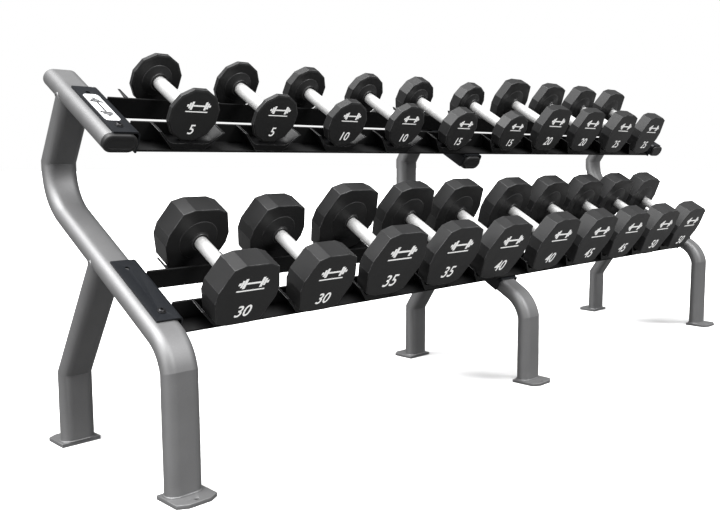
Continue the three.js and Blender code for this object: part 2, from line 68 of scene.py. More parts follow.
# The outlines are the corners of a head's upper right quarter, as shares of its half width.
REGULAR_HEAD = [(0.268, 1), (0.732, 0.732), (1, 0.268)]
BROAD_HEAD = [(0.379, 0.98), (0.727, 0.863), (1, 0.1755)]
REGULAR_UP_TO = 15
WEIGHTS = {"upper": (5, 10, 15, 20, 25), "lower": (30, 35, 40, 45, 50)}
HANDLE_LENGTH, OTHER_HANDLES = 152, {30: 142}
HANDLE_RADIUS = 15

UP_SLOPE = Vector((0, math.cos(TILT), math.sin(TILT)))
OFF_SLOPE = Vector((0, -math.sin(TILT), math.cos(TILT)))
FRAMES = {"left": (-FRAME_SPACING, 0), "middle": (0, MIDDLE_DROP), "right": (FRAME_SPACING, 0)}


def tier_place(tier):
    """The tier's own frame: +Y up its slope, +Z square to it, from the brackets' front edge."""
    y, z = TIER_EDGES[tier]
    place = Matrix((Vector((1, 0, 0)), UP_SLOPE, OFF_SLOPE)).transposed().to_4x4()
    place.translation = Vector((0, y - LEG_SPREAD / 2, z)) * MM
    return place


TIERS = {tier: tier_place(tier) for tier in TIER_EDGES}


def shifted(x, y, z):
    """A move by millimetres."""
    return Matrix.Translation(Vector((x, y, z)) * MM)


# ---- Finishes -----------------------------------------------------------------------------------

class Value:
    """A number that varies over a surface. Python's operators on it add Math nodes."""

    def __init__(self, finish, socket):
        self.finish, self.socket = finish, socket

    def math(self, operation, *others):
        numbers = dict(enumerate((self, *others)))
        made = self.finish.node("ShaderNodeMath", {"operation": operation}, numbers)
        return Value(self.finish, made.outputs[0])

    def __add__(self, other):
        return self.math("ADD", other)

    __radd__ = __add__

    def __mul__(self, other):
        return self.math("MULTIPLY", other)

    __rmul__ = __mul__

    def __sub__(self, other):
        return self.math("SUBTRACT", other)

    def __rsub__(self, other):
        return self * -1 + other

    def clamp(self):
        return self.math("MAXIMUM", 0).math("MINIMUM", 1)


class Finish:
    """One surface finish: a material and the nodes that colour it."""

    def __init__(self, name, colour, roughness, metallic=0.0, specular=0.5):
        self.material = bpy.data.materials.new(name)
        self.material.use_nodes = True
        self.tree = self.material.node_tree
        self.shader = self.tree.nodes["Principled BSDF"]
        self.material.diffuse_color = (*colour, 1)
        self.put("Base Color", (*colour, 1))
        self.put("Roughness", roughness)
        self.put("Metallic", metallic)
        self.put("Specular IOR Level", specular)
        self.place = self.node("ShaderNodeTexCoord").outputs["Object"]

    def put(self, socket, value):
        self.feed(self.shader.inputs[socket], value)

    def feed(self, socket, value):
        if isinstance(value, Value):
            value = value.socket
        if isinstance(value, bpy.types.NodeSocket):
            self.tree.links.new(value, socket)
        else:
            socket.default_value = value

    def node(self, kind, settings=None, sockets=None):
        made = self.tree.nodes.new(kind)
        for key, value in (settings or {}).items():
            setattr(made, key, value)
        for key, value in (sockets or {}).items():
            self.feed(made.inputs[key], value)
        return made

    def noise(self, size, detail=3.0, rough=0.5, stretch=(1, 1, 1)):
        """Cloudy noise about 0.5, whose patches are about `size` millimetres across."""
        mapping = self.node("ShaderNodeMapping", None, {"Vector": self.place, "Scale": stretch})
        sockets = {"Vector": mapping.outputs[0], "Scale": 1 / (size * MM),
                   "Detail": detail, "Roughness": rough}
        return Value(self, self.node("ShaderNodeTexNoise", None, sockets).outputs["Fac"])

    def axes(self):
        split = self.node("ShaderNodeSeparateXYZ", None, {"Vector": self.place})
        return [Value(self, output) for output in split.outputs]

    def step(self, value, low, high):
        """0 below low and 1 above high, with a soft edge between them."""
        sockets = {"Value": value, "From Min": low, "From Max": high}
        made = self.node("ShaderNodeMapRange", {"interpolation_type": "SMOOTHSTEP"}, sockets)
        return Value(self, made.outputs["Result"])

    def edges(self, radius, gain=9):
        """1 along edges and corners, 0 on flats. The radius is in millimetres."""
        bevel = self.node("ShaderNodeBevel", {"samples": 4}, {"Radius": radius * MM})
        normal = self.node("ShaderNodeNewGeometry").outputs["Normal"]
        dot = self.node("ShaderNodeVectorMath", {"operation": "DOT_PRODUCT"},
                        {0: bevel.outputs[0], 1: normal})
        return ((1 - Value(self, dot.outputs["Value"])) * gain).clamp()

    def mix(self, share, first, second):
        made = self.node("ShaderNodeMix", {"data_type": "RGBA"}, {"Factor": share})
        for socket, colour in ((6, first), (7, second)):
            self.feed(made.inputs[socket], (*colour, 1) if isinstance(colour, tuple) else colour)
        return made.outputs[2]

    def bump(self, height, depth):
        """Relief of `depth` millimetres for a height from 0 to 1."""
        sockets = {"Height": height, "Distance": depth * MM, "Strength": 1.0}
        self.put("Normal", self.node("ShaderNodeBump", None, sockets).outputs[0])


def shade(colour, factor):
    return tuple(min(1.0, c * factor) for c in colour)


def coated_finish(name, colour, roughness, grain, relief,
                  metallic=0.0, edge_wear_and_highlight_strength=0.35, edge_wear_and_highlight_colour=None, specular=0.5):
    """A coat with a fine grain, faint clouds in its colour, duller patches and lighter edges, which
    are wear and, on the heads and saddles, partly a painted highlight.
    """
    finish = Finish(name, colour, roughness, metallic, specular)
    clouds = finish.noise(140, detail=4)
    fine = finish.noise(grain, detail=2)
    patches = finish.noise(35, detail=5, rough=0.6)
    # Lighter patchy edges: wear, and where a pale edge colour sits on a black coat, partly a
    # painted highlight.
    edge_wear_and_highlight = finish.edges(1.6) * finish.step(patches, 0.35, 0.62) * edge_wear_and_highlight_strength
    body = finish.mix(clouds, shade(colour, 0.86), shade(colour, 1.14))
    flecked = finish.mix(finish.step(fine, 0.5, 0.8) * 0.35, body, shade(colour, 1.5))
    finish.put("Base Color", finish.mix(edge_wear_and_highlight, flecked, edge_wear_and_highlight_colour or shade(colour, 2.2)))
    dullness = patches * 0.16 + (roughness - 0.08) + fine * 0.05 - edge_wear_and_highlight * 0.12
    finish.put("Roughness", dullness.clamp())
    finish.bump(fine, relief)
    return finish.material


def handle_steel(clean, smudged, knurl_turns=22, knurl_ends=(0.056, 0.058)):
    """Satin chrome with a diamond knurl round its middle. The handle's axis is its local Y."""
    finish = Finish("satin_chrome", clean, 0.34, metallic=0.1)
    x, y, z = finish.axes()
    angle = z.math("ARCTAN2", x)
    pitch = knurl_turns / (HANDLE_RADIUS * MM)
    one_way = (angle * knurl_turns + y * pitch).math("SINE")
    other_way = (angle * knurl_turns - y * pitch).math("SINE")
    knurl = (one_way * one_way) * (other_way * other_way)
    grip = 1 - finish.step(y.math("ABSOLUTE"), *knurl_ends)
    smudge = finish.noise(18, detail=4)
    lathe = finish.noise(0.8, detail=1, stretch=(0.05, 1, 0.05))
    finish.put("Base Color", finish.mix(smudge * grip * 0.5, clean, smudged))
    finish.put("Roughness", (smudge * 0.2 + 0.2 + grip * 0.08).clamp())
    finish.bump(knurl * grip + lathe * (1 - grip) * 0.15, 0.35)
    return finish.material


def printed_paint(name, colour, glow=0.0):
    """Filled or printed paint with faint scuffs. A glow keeps a white fill bright in shade."""
    finish = Finish(name, colour, 0.5)
    finish.put("Emission Color", (*colour, 1))
    finish.put("Emission Strength", glow)
    scuffs = finish.step(finish.noise(3, detail=5, rough=0.65), 0.62, 0.74)
    finish.put("Base Color", finish.mix(scuffs * 0.35, colour, shade(colour, 0.6)))
    finish.put("Roughness", finish.noise(6) * 0.2 + 0.4)
    finish.bump(finish.noise(0.8), 0.02)
    return finish.material


def grey(value):
    return (value, value, value)


def floor_finish(bounced=grey(0.12), palest=grey(0.975), darkest=grey(0.965)):
    """A pale floor that throws less light back than its own colour would."""
    finish = Finish("pale_floor", grey(0.97), 0.8, specular=0.1)
    seen = finish.mix(finish.noise(900), darkest, palest)
    straight = finish.node("ShaderNodeLightPath").outputs["Is Camera Ray"]
    finish.put("Base Color", finish.mix(straight, bounced, seen))
    return finish.material


FRAME_PAINT = coated_finish("silver_powder_coat", (0.195, 0.195, 0.197), 0.52, 1.1, 0.05,
                            metallic=0.7, edge_wear_and_highlight_strength=0.5, edge_wear_and_highlight_colour=(0.55, 0.555, 0.56))
BRACKET_PAINT = coated_finish("black_satin_coat", (0.006, 0.007, 0.009), 0.45, 0.9, 0.04,
                              edge_wear_and_highlight_strength=0.5, specular=0.35)
RAIL_PAINT = coated_finish("black_rail_coat", (0.003, 0.003, 0.0032), 0.6, 1.0, 0.05,
                           edge_wear_and_highlight_strength=0.3, specular=0.2)
CAP_PLASTIC = coated_finish("black_cap_moulding", (0.010, 0.010, 0.0105), 0.5, 0.7, 0.06, edge_wear_and_highlight_strength=0.2)
# The saddles' pale grey edges are partly wear and partly a painted highlight.
SADDLE_PLASTIC = coated_finish("black_saddle_moulding", (0.004, 0.004, 0.0043), 0.42, 0.9, 0.04,
                               edge_wear_and_highlight_strength=1.0, edge_wear_and_highlight_colour=(0.16, 0.16, 0.163), specular=0.25)
# The heads' pale grey edges are partly wear and partly a painted highlight.
HEAD_URETHANE = coated_finish("charcoal_urethane", (0.016, 0.016, 0.0163), 0.4, 0.8, 0.05,
                              edge_wear_and_highlight_strength=1.0, edge_wear_and_highlight_colour=(0.2, 0.2, 0.203), specular=0.35)
BOLT_OXIDE = coated_finish("black_oxide_steel", (0.03, 0.03, 0.032), 0.35, 0.6, 0.03, metallic=0.7)
LABEL_FILM = printed_paint("label_film", (0.78, 0.79, 0.80))
WHITE_INK = printed_paint("white_fill", (0.95, 0.95, 0.94), glow=0.3)
BLACK_INK = printed_paint("black_print", (0.02, 0.02, 0.022))
CHROME = handle_steel(clean=(0.5, 0.5, 0.496), smudged=(0.42, 0.42, 0.417))

# ---- Mesh helpers -------------------------------------------------------------------------------

ROUND_SIDES = 48


def soften(mesh, width, segments=2, angle=24):
    """Rounds every edge sharper than `angle` degrees by `width` millimetres."""
    sharp = [e for e in mesh.edges
             if len(e.link_faces) == 2 and e.calc_face_angle() > math.radians(angle)]
    bmesh.ops.bevel(mesh, geom=sharp, offset=width * MM, segments=segments, profile=0.5,
                    affect="EDGES", clamp_overlap=True)


def finished(mesh, name, material, smooth=26):
    """A mesh data block from a bmesh, with soft shading across gentle edges only."""
    bmesh.ops.recalc_face_normals(mesh, faces=mesh.faces)
    data = bpy.data.meshes.new(name)
    mesh.to_mesh(data)
    mesh.free()
    data.polygons.foreach_set("use_smooth", [True] * len(data.polygons))
    data.set_sharp_from_angle(angle=math.radians(smooth))
    data.materials.append(material)
    return data


def piece(name, data, body, place=None, stands_for=()):
    """Puts a mesh in the scene, on one body, and hides the parts it stands for."""
    made = bpy.data.objects.new(name, data)
    bpy.context.scene.collection.objects.link(made)
    if place is not None:
        made.matrix_world = place
    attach(made, body)
    if stands_for:
        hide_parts(*stands_for)


def loft(mesh, rings, closed_ends=True):
    """Skins a list of rings of points, in millimetres, all with the same number of points."""
    rows = [[mesh.verts.new(Vector(p) * MM) for p in ring] for ring in rings]
    for lower, upper in zip(rows, rows[1:]):
        for i in range(len(lower)):
            j = (i + 1) % len(lower)
            mesh.faces.new((lower[i], lower[j], upper[j], upper[i]))
    if closed_ends:
        mesh.faces.new(list(reversed(rows[0])))
        mesh.faces.new(rows[-1])


def lathe(profile):
    """Rings round local Y, from pairs of a radius and a place on the axis."""
    angles = [2 * math.pi * k / ROUND_SIDES for k in range(ROUND_SIDES)]
    return [[(r * math.cos(t), y, r * math.sin(t)) for t in angles] for r, y in profile]


def refined(node, width, segments=2):
    """The node's own shape with its coplanar triangles merged and its edges rounded."""
    mesh = bmesh.new()
    mesh.from_mesh(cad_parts[node].data)
    bmesh.ops.remove_doubles(mesh, verts=mesh.verts, dist=1e-6)
    flat = math.radians(1)
    bmesh.ops.dissolve_limit(mesh, angle_limit=flat, verts=mesh.verts, edges=mesh.edges)
    soften(mesh, width, segments)
    return mesh


# ---- Flat-sided oval tubes ----------------------------------------------------------------------

OVAL_STEPS = 14
OVAL_MARGIN = 2              # from the ends of a flat to its extra points
BEND_STEPS, CREASE_STEPS = 16, 3
WELD_RADIUS, WELD_SIDES, WELD_RIPPLE = 2.2, 8, 0.12
FOOT_WELD_OFFSET = 0.6
FOOT_EDGE, TUBE_END_EDGE = 1.0, 0.8
TUBE_ROUNDING, CAP_ROUNDING = 7, 5
# The cap's edge at its tube, and the shallow recess in its front: how deep and how far in.
CAP_EDGE = 0.6
CAP_PLUG = [(0, 9), (0.8, 10.5)]


def oval(inset=0.0):
    """The tube's section, along X and across the tube. Extra points keep the flats flat."""
    radius, flat = TUBE_DEPTH / 2 - inset, (TUBE_WIDTH - TUBE_DEPTH) / 2
    points = []
    for side in (1, -1):
        points.append((side * (flat - OVAL_MARGIN), -side * radius))
        for i in range(OVAL_STEPS + 1):
            angle = math.radians(-90 + 180 * i / OVAL_STEPS)
            x, across = flat + radius * math.cos(angle), radius * math.sin(angle)
            points.append((side * x, side * across))
        points.append((side * (flat - OVAL_MARGIN), side * radius))
    return points


def station(point, across):
    """The tube's section at a point of its axis. `across` is the way across the tube."""
    return [(x, point[0] + a * across[0], point[1] + a * across[1]) for x, a in oval()]


def heading(start, end):
    length = math.hypot(end[0] - start[0], end[1] - start[1])
    return ((end[0] - start[0]) / length, (end[1] - start[1]) / length)


def turned(direction, angle):
    c, s = math.cos(angle), math.sin(angle)
    return (direction[0] * c - direction[1] * s, direction[0] * s + direction[1] * c)


def tube_rings(corners, skipped=0):
    """Rings along corners (y, z, bend radius). A corner of radius 0 is a mitre.

    The first bend leaves out its first `skipped` steps, so that it starts with a crease.
    """
    rings = []
    for i, (y, z, radius) in enumerate(corners):
        before = heading(corners[max(i - 1, 0)], corners[max(i, 1)])
        after = heading(corners[i], corners[i + 1]) if i + 1 < len(corners) else before
        cross = before[0] * after[1] - before[1] * after[0]
        turn = math.atan2(cross, before[0] * after[0] + before[1] * after[1])
        if not radius:
            middle = turned(before, turn / 2)
            stretch = 1 / math.cos(turn / 2)
            rings.append(station((y, z), (-middle[1] * stretch, middle[0] * stretch)))
            continue
        side = math.copysign(1, turn)
        tangent = radius * math.tan(abs(turn) / 2)
        centre = (y - before[0] * tangent - before[1] * side * radius,
                  z - before[1] * tangent + before[0] * side * radius)
        first = skipped if len(rings) == 1 else 0
        for k in range(first, BEND_STEPS + 1):
            d = turned(before, turn * k / BEND_STEPS)
            point = (centre[0] + d[1] * side * radius, centre[1] - d[0] * side * radius)
            rings.append(station(point, (-d[1], d[0])))
    return rings


def tube_offset(drop):
    """Where the axis of a tube under a tier is, square to the tier."""
    return -drop - PLATE - GAP - TUBE_DEPTH / 2


def frame_lines(drop):
    """Points on the axes of one frame's tubes, in Y and Z from its front leg."""
    off = tube_offset(drop)
    return {tier: (y - off * math.sin(TILT), z + off * math.cos(TILT))
            for tier, (y, z) in TIER_EDGES.items()}


def height_on(line, y):
    return line[1] + (y - line[0]) * math.tan(TILT)


def lean_to(start, lean, line):
    """Where a tube that leans forward from start meets the axis of a tier's tube."""
    run = math.tan(lean)
    rise = (height_on(line, start[0]) - start[1]) / (1 + run * math.tan(TILT))
    return (start[0] - rise * run, start[1] + rise)


def weld(name, start, end, line, x):
    """The bead where a tube that comes up from start meets the underside of a tier's tube."""
    way = heading(start, end)
    climb = -way[0] * math.sin(TILT) + way[1] * math.cos(TILT)
    flat, radius = (TUBE_WIDTH - TUBE_DEPTH) / 2, TUBE_DEPTH / 2
    loop = []
    for sx, across in oval():
        y, z = end[0] - way[1] * across, end[1] + way[0] * across
        over = max(abs(sx) - flat, 0)
        below = math.sqrt(max(radius ** 2 - over ** 2, 0))
        off = (z - line[1]) * math.cos(TILT) - (y - line[0]) * math.sin(TILT)
        reach = (-below - off) / climb
        loop.append((x + sx, y + way[0] * reach - LEG_SPREAD / 2, z + way[1] * reach))
    bead(name, loop)


def bead(name, loop, closest=0.4, pace=2.4):
    """A closed, slightly rippled bead of weld along a loop of points."""
    points = [Vector(p) for p in loop]
    points = [p for i, p in enumerate(points) if (p - points[i - 1]).length > closest]
    count = len(points)
    angles = [2 * math.pi * k / WELD_SIDES for k in range(WELD_SIDES)]
    rings = []
    middle = sum(points, Vector()) / count
    for i, point in enumerate(points):
        ahead = (points[(i + 1) % count] - points[i - 1]).normalized()
        out = (point - middle)
        out = (out - ahead * out.dot(ahead)).normalized()
        up = ahead.cross(out)
        swell = WELD_RADIUS * (1 + WELD_RIPPLE * math.sin(i * pace))
        rings.append([point + (out * math.cos(t) + up * math.sin(t)) * swell for t in angles])
    mesh = bmesh.new()
    loft(mesh, rings + [rings[0]], closed_ends=False)
    bmesh.ops.remove_doubles(mesh, verts=mesh.verts, dist=1e-7)
    piece(name, finished(mesh, name, FRAME_PAINT, 60), "rack")


def tube_piece(node, rings, x, seam=None):
    """A tube's skin. The ring with the number `seam` gets a sharp edge."""
    mesh = bmesh.new()
    loft(mesh, [[(px + x, y - LEG_SPREAD / 2, z) for px, y, z in ring] for ring in rings])
    data = finished(mesh, node, FRAME_PAINT)
    if seam is not None:
        size = len(rings[0])
        for edge in data.edges:
            if all(vertex // size == seam for vertex in edge.vertices):
                edge.use_edge_sharp = True
    piece(f"{node}_skin", data, "rack", stands_for=[node])


def make_frame(name, x, drop):
    """One frame's bent tube, rear leg, feet and welds. The middle one's back is further back."""
    lines = frame_lines(drop)
    floor = FOOT_THICKNESS + GAP
    back = BACK_Y + (MIDDLE_BACK_OFFSET if drop else 0)
    corner = height_on(lines["lower"], back)
    bend_rise = REAR_BEND * math.tan((math.pi / 2 - TILT) / 2)
    joint = (back, height_on(frame_lines(0)["lower"], BACK_Y) + bend_rise + RISER_STRETCH)
    top = lean_to(joint, RISER_LEAN, lines["upper"])
    path = [(0, floor, 0), (0, height_on(lines["lower"], 0), FRONT_BEND),
            (back, corner, REAR_BEND), (*joint, 0), (*top, 0)]
    tube_piece(f"{name}_bent_tube", tube_rings(path, skipped=CREASE_STEPS), x, seam=1)
    weld(f"{name}_riser_weld", joint, top, lines["upper"], x)
    knee = (LEG_SPREAD, REAR_LEG_JOINT_Z)
    meet = lean_to(knee, REAR_LEG_LEAN, lines["lower"])
    tube_piece(f"{name}_rear_leg", tube_rings([(LEG_SPREAD, floor, 0), (*knee, 0), (*meet, 0)]), x)
    weld(f"{name}_rear_leg_weld", knee, meet, lines["lower"], x)
    for foot, y in (("front", 0), ("rear", LEG_SPREAD)):
        node = f"{name}_{foot}_foot"
        data = finished(refined(node, FOOT_EDGE), node, FRAME_PAINT)
        piece(f"{node}_plate", data, "rack", stands_for=[node])
        bead(f"{node}_weld", [(x + sx, y + a - LEG_SPREAD / 2, FOOT_THICKNESS + FOOT_WELD_OFFSET)
                              for sx, a in oval(-FOOT_WELD_OFFSET)])


def rounded_end(end, radius, way):
    """Places and insets that round off an end. `way` is 1 at the rear and -1 at the front."""
    angles = [math.radians(a) for a in range(0, 91, 15)]
    return [(end - way * radius * (1 - math.sin(a)), radius * (1 - math.cos(a))) for a in angles]


def make_top_tube(name, x, drop):
    """The upper tier's tube, closed and rounded at its rear end, and its end cap at the front."""
    start, end = TOP_TUBE
    face = start - GAP
    front = face - CAP_PROUD
    tube = [(start, TUBE_END_EDGE), (start + TUBE_END_EDGE, 0)]
    tube += rounded_end(end, TUBE_ROUNDING, 1)
    cap = [(face, CAP_EDGE), (face - CAP_EDGE, 0)] + rounded_end(front, CAP_ROUNDING, -1)
    cap += [(front + depth, inset) for depth, inset in CAP_PLUG]
    place = TIERS["upper"] @ Matrix.Translation((x * MM, 0, 0))
    for node, suffix, profile, material, slot in (
            (f"{name}_top_tube", "skin", tube, FRAME_PAINT, "frame_paint"),
            (f"{name}_end_cap", "moulding", cap, CAP_PLASTIC, "cap_plastic")):
        mesh = bmesh.new()
        loft(mesh, [[(px, y, tube_offset(drop) + a) for px, a in oval(inset)]
                    for y, inset in profile])
        piece(f"{node}_{suffix}", finished(mesh, node, material), "rack", place, [node])


# ---- Brackets, bolts and label ------------------------------------------------------------------

# A bolt's profile: radii and heights of its washer, its round head and its socket.
BOLT_OUTSIDE = [(9, 0), (9, 1.3), (7.2, 1.5), (6.8, 3.2), (5.4, 4.4), (3.6, 4.8)]
BOLT_SOCKET = [(2.9, 4.8), (2.7, 2.0)]
BOLT_SIDES = 24
BOLT_SIDESTEP = 6
BOLT_PLACES = {"front": 27, "rear": 169}
BRACKET_EDGE = 0.9
LABEL_SPOT = (4.5, TIER_MIDDLE + 2, 1.15)
LABEL_EDGE = 0.25
LABEL_SIGN_WIDTH, LABEL_PRINT = 88, 0.15
SUNK = 0.2                   # how deep raised shapes reach into their surface
# The sign is drawn 100 wide: bars from x0 to x1 and z0 to z1, and discs seen from the side.
SIGN_BAR, SIGN_STROKE = (-22, 22, -2.5, 2.5), (-44, 44, -24, -20.5)
SIGN_DISCS = ((23, 31, 15), (32.5, 39, 10.5), (40.5, 47, 4))   # inner, outer, half height


def make_bolt(name, place):
    """A low round-headed bolt with a hexagon socket, on a washer. Its axis is local Z."""
    def ring(radius, z, hexagon):
        points = []
        for k in range(BOLT_SIDES):
            angle = 2 * math.pi * k / BOLT_SIDES
            near_flat = (angle % (math.pi / 3)) - math.pi / 6
            stretch = math.cos(math.pi / 6) / math.cos(near_flat) * 1.15 if hexagon else 1
            reach = radius * stretch
            points.append((reach * math.cos(angle), reach * math.sin(angle), z))
        return points

    mesh = bmesh.new()
    loft(mesh, [ring(*p, False) for p in BOLT_OUTSIDE] + [ring(*p, True) for p in BOLT_SOCKET])
    piece(name, finished(mesh, name, BOLT_OXIDE, 40), "rack", place)


def make_brackets():
    """The brackets' plates and their bolts. Only the right frame has its rear bolts."""
    for name, (x, drop) in FRAMES.items():
        side = -1 if name == "right" else 1
        for tier in TIERS:
            node = f"{name}_{tier}_bracket"
            data = finished(refined(node, BRACKET_EDGE), node, BRACKET_PAINT)
            piece(f"{node}_plate", data, "rack", stands_for=[node])
            for end, along in BOLT_PLACES.items():
                if end == "front" or name == "right":
                    spot = TIERS[tier] @ shifted(x + side * BOLT_SIDESTEP, along, -drop)
                    make_bolt(f"{node}_bolt_{end}", spot)


def pictogram(width, slant=0.18):
    """Outlines of a generic barbell sign with a stroke under it, in millimetres."""
    unit = width / 100

    def bar(x0, x1, z0, z1):
        corners = ((x0, z0), (x1, z0), (x1, z1), (x0, z1))
        return [((x + slant * z) * unit, z * unit) for x, z in corners]

    shapes = [bar(*SIGN_BAR)]
    for side in (-1, 1):
        for inner, outer, half in SIGN_DISCS:
            low, high = sorted((side * inner, side * outer))
            shapes.append(bar(low, high, -half, half))
    return shapes + [bar(*SIGN_STROKE)]


def flat_shapes(name, shapes, thickness, material):
    """Thin raised shapes in local X and Y, standing on local Z = 0."""
    mesh = bmesh.new()
    for outline in shapes:
        loft(mesh, [[(x, y, z) for x, y in outline] for z in (-SUNK, thickness)])
    return finished(mesh, name, material)


def make_label():
    node = "label_plate"
    data = finished(refined(node, LABEL_EDGE, 1), node, LABEL_FILM)
    piece("label_film", data, "rack", stands_for=[node])
    x, y, z = LABEL_SPOT
    spot = TIERS["upper"] @ shifted(x - FRAME_SPACING, y, z) @ Matrix.Rotation(-math.pi / 2, 4, "Z")
    sign = flat_shapes("label_sign", pictogram(LABEL_SIGN_WIDTH), LABEL_PRINT, BLACK_INK)
    piece("label_sign", sign, "rack", spot)


# ---- Rails and saddles --------------------------------------------------------------------------

RAIL_EDGE, SADDLE_EDGE = 1.2, 1.4
DISH_STEPS = 10


def saddle_outline():
    """A saddle's section in X and Z: a dish that curves up by 45 degrees towards each lip."""
    lip = SADDLE_HALF - SADDLE_LIP
    radius = (lip - SADDLE_FLOOR - SADDLE_DISH) / (math.sqrt(2) - 1)
    angles = [math.radians(45) * i / DISH_STEPS for i in range(DISH_STEPS + 1)]
    right = [(SADDLE_FLOOR + radius * math.sin(a), -SADDLE_DISH + radius * (1 - math.cos(a)))
             for a in angles]
    bottom = -RAIL_HEIGHT + RAIL_THICKNESS + GAP
    right += [(lip, 0), (SADDLE_HALF, 0), (SADDLE_HALF + bottom, bottom)]
    return [(-x, z) for x, z in reversed(right)] + right


def saddle_centres(bay):
    """Middles of one bay's saddles, from the dumbbells that lie in them."""
    names = [f"dumbbell_{w}lb_{letter}" for w in WEIGHTS["upper"] for letter in "ab"]
    middles = [sum(corner.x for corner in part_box(n)) / 2 / MM for n in names]
    return [x for x in middles if (x < 0) == (bay == "left")]


def make_saddles(tier, end, bay):
    node = f"{tier}_{end}_saddles_{bay}"
    front = RAIL_MARGIN + GAP
    start = front if end == "front" else 2 * TIER_MIDDLE - front - SADDLE_DEPTH
    mesh = bmesh.new()
    for centre in saddle_centres(bay):
        one = bmesh.new()
        loft(one, [[(centre + x, y, z) for x, z in saddle_outline()]
                   for y in (start, start + SADDLE_DEPTH)])
        soften(one, SADDLE_EDGE)
        part = bpy.data.meshes.new("part")
        one.to_mesh(part)
        one.free()
        mesh.from_mesh(part)
        bpy.data.meshes.remove(part)
    data = finished(mesh, node, SADDLE_PLASTIC)
    piece(f"{node}_mouldings", data, "rack", TIERS[tier], [node])


def make_rails():
    for tier in TIERS:
        for end in ("front", "rear"):
            node = f"{tier}_{end}_rail"
            data = finished(refined(node, RAIL_EDGE), node, RAIL_PAINT)
            piece(f"{node}_angle", data, "rack", stands_for=[node])
            for bay in ("left", "right"):
                make_saddles(tier, end, bay)


# ---- Dumbbells ----------------------------------------------------------------------------------

BROAD_EDGE = 1.6             # chamfer of the broad heads
REGULAR_EDGE, REGULAR_EDGE_SHARE = 3.4, 0.25
HEAD_CORNER = 0.8
# A hub's profile: radii, and places out from the head's inner face, which is at 0.
HUB_RIM = [(0.62, 0.5), (0.6, -0.8)]   # radii as shares of the head's half width
HUB_COLLAR = [(23, -5.5), (20.5, -7.2), (19.5, -9), (15.2, -9)]
GRIP_HALF, GRIP_STEPS = 59, 12
GRIP_RADIUS, GRIP_SWELL = 14.9, 0.6
SHOULDER_HALF, SHOULDER_RADIUS, END_RADIUS = 60, 14.5, 14.4
HANDLE_INTO_HEAD = 4
DIGIT_SHARE = 0.69           # a digit's height as a share of the built-in face's size
DIGIT_SLANT, DIGIT_WEIGHT, DIGIT_RELIEF = 0.2, 0.006, 0.3
SIGN_RELIEF = 0.35
# Sizes and places of the marks on a head's face, as shares of the head's half width.
NUMERAL_HEIGHTS = {"regular": 0.37, "broad": 0.36}
NUMERAL_DOWN, SIGN_UP, SIGN_WIDTH = 0.55, 0.4, 1.04
NUMERAL_ASIDE, SIGN_ASIDE = -1, 3   # millimetres


def head_ring(outline, half_width, y, inset):
    """The head's twelve corners at y, with the inset taken off its half width."""
    scale = half_width - inset
    right = outline + [(x, -z) for x, z in reversed(outline)]
    corners = right + [(-x, -z) for x, z in right]
    return [(x * scale, y, z * scale) for x, z in corners]


def head_mesh(mesh, outline, half_width, handle, thickness, side):
    """One head on the handle's axis, local Y. The regular ones have broad chamfers."""
    inner, outer = handle / 2, handle / 2 + thickness
    edge = BROAD_EDGE
    if outline is REGULAR_HEAD:
        edge = min(REGULAR_EDGE, thickness * REGULAR_EDGE_SHARE)
    # How deep below the face, and how far in from the outline.
    chamfer = [(0, edge + 0.8), (0.2, edge), (edge * 0.5, 0.3), (edge * 0.5 + 0.4, 0)]
    profile = [(inner + depth, inset) for depth, inset in chamfer]
    profile += [(outer - depth, inset) for depth, inset in reversed(chamfer)]
    loft(mesh, [head_ring(outline, half_width, y * side, inset) for y, inset in profile])


def hub_mesh(mesh, half_width, handle, side):
    """The cone and collar round the handle on a head's inner face."""
    profile = [(half_width * share, y) for share, y in HUB_RIM] + HUB_COLLAR
    loft(mesh, lathe([(radius, (handle / 2 + y) * side) for radius, y in profile]))


def handle_data(length):
    """A straight grip with a slight swell in the middle and a plain shoulder at each end."""
    end = length / 2 + HANDLE_INTO_HEAD
    profile = [(END_RADIUS, -end), (SHOULDER_RADIUS, -SHOULDER_HALF), (GRIP_RADIUS, -GRIP_HALF)]
    profile += [(GRIP_RADIUS + GRIP_SWELL * math.sin(math.pi * i / GRIP_STEPS),
                 -GRIP_HALF + 2 * GRIP_HALF * i / GRIP_STEPS) for i in range(1, GRIP_STEPS)]
    profile += [(GRIP_RADIUS, GRIP_HALF), (SHOULDER_RADIUS, SHOULDER_HALF), (END_RADIUS, end)]
    mesh = bmesh.new()
    loft(mesh, lathe(profile))
    return finished(mesh, "handle", CHROME)


def numeral_data(text, height):
    """Raised numerals, slanted, standing on local Z = 0 about their middle."""
    curve = bpy.data.curves.new(f"numeral_{text}", "FONT")
    curve.body = text
    curve.size = height * MM / DIGIT_SHARE
    curve.shear = DIGIT_SLANT
    curve.offset = DIGIT_WEIGHT * curve.size
    curve.extrude = DIGIT_RELIEF * MM
    curve.align_x = "CENTER"
    curve.align_y = "CENTER"
    holder = bpy.data.objects.new("numeral", curve)
    bpy.context.scene.collection.objects.link(holder)
    graph = bpy.context.evaluated_depsgraph_get()
    data = bpy.data.meshes.new_from_object(holder.evaluated_get(graph))
    bpy.data.objects.remove(holder)
    bpy.data.curves.remove(curve)
    data.name = f"numeral_{text}"
    data.materials.clear()
    data.materials.append(WHITE_INK)
    return data


def soften_sides(mesh, width):
    """Takes the sharpness off the twelve long corners of each head."""
    long_edges = [e for e in mesh.edges if len(e.link_faces) == 2
                  and abs((e.verts[0].co - e.verts[1].co).normalized().y) > 0.99
                  and e.calc_face_angle() > math.radians(5)]
    bmesh.ops.bevel(mesh, geom=long_edges, offset=width * MM, segments=1, profile=0.5,
                    affect="EDGES")


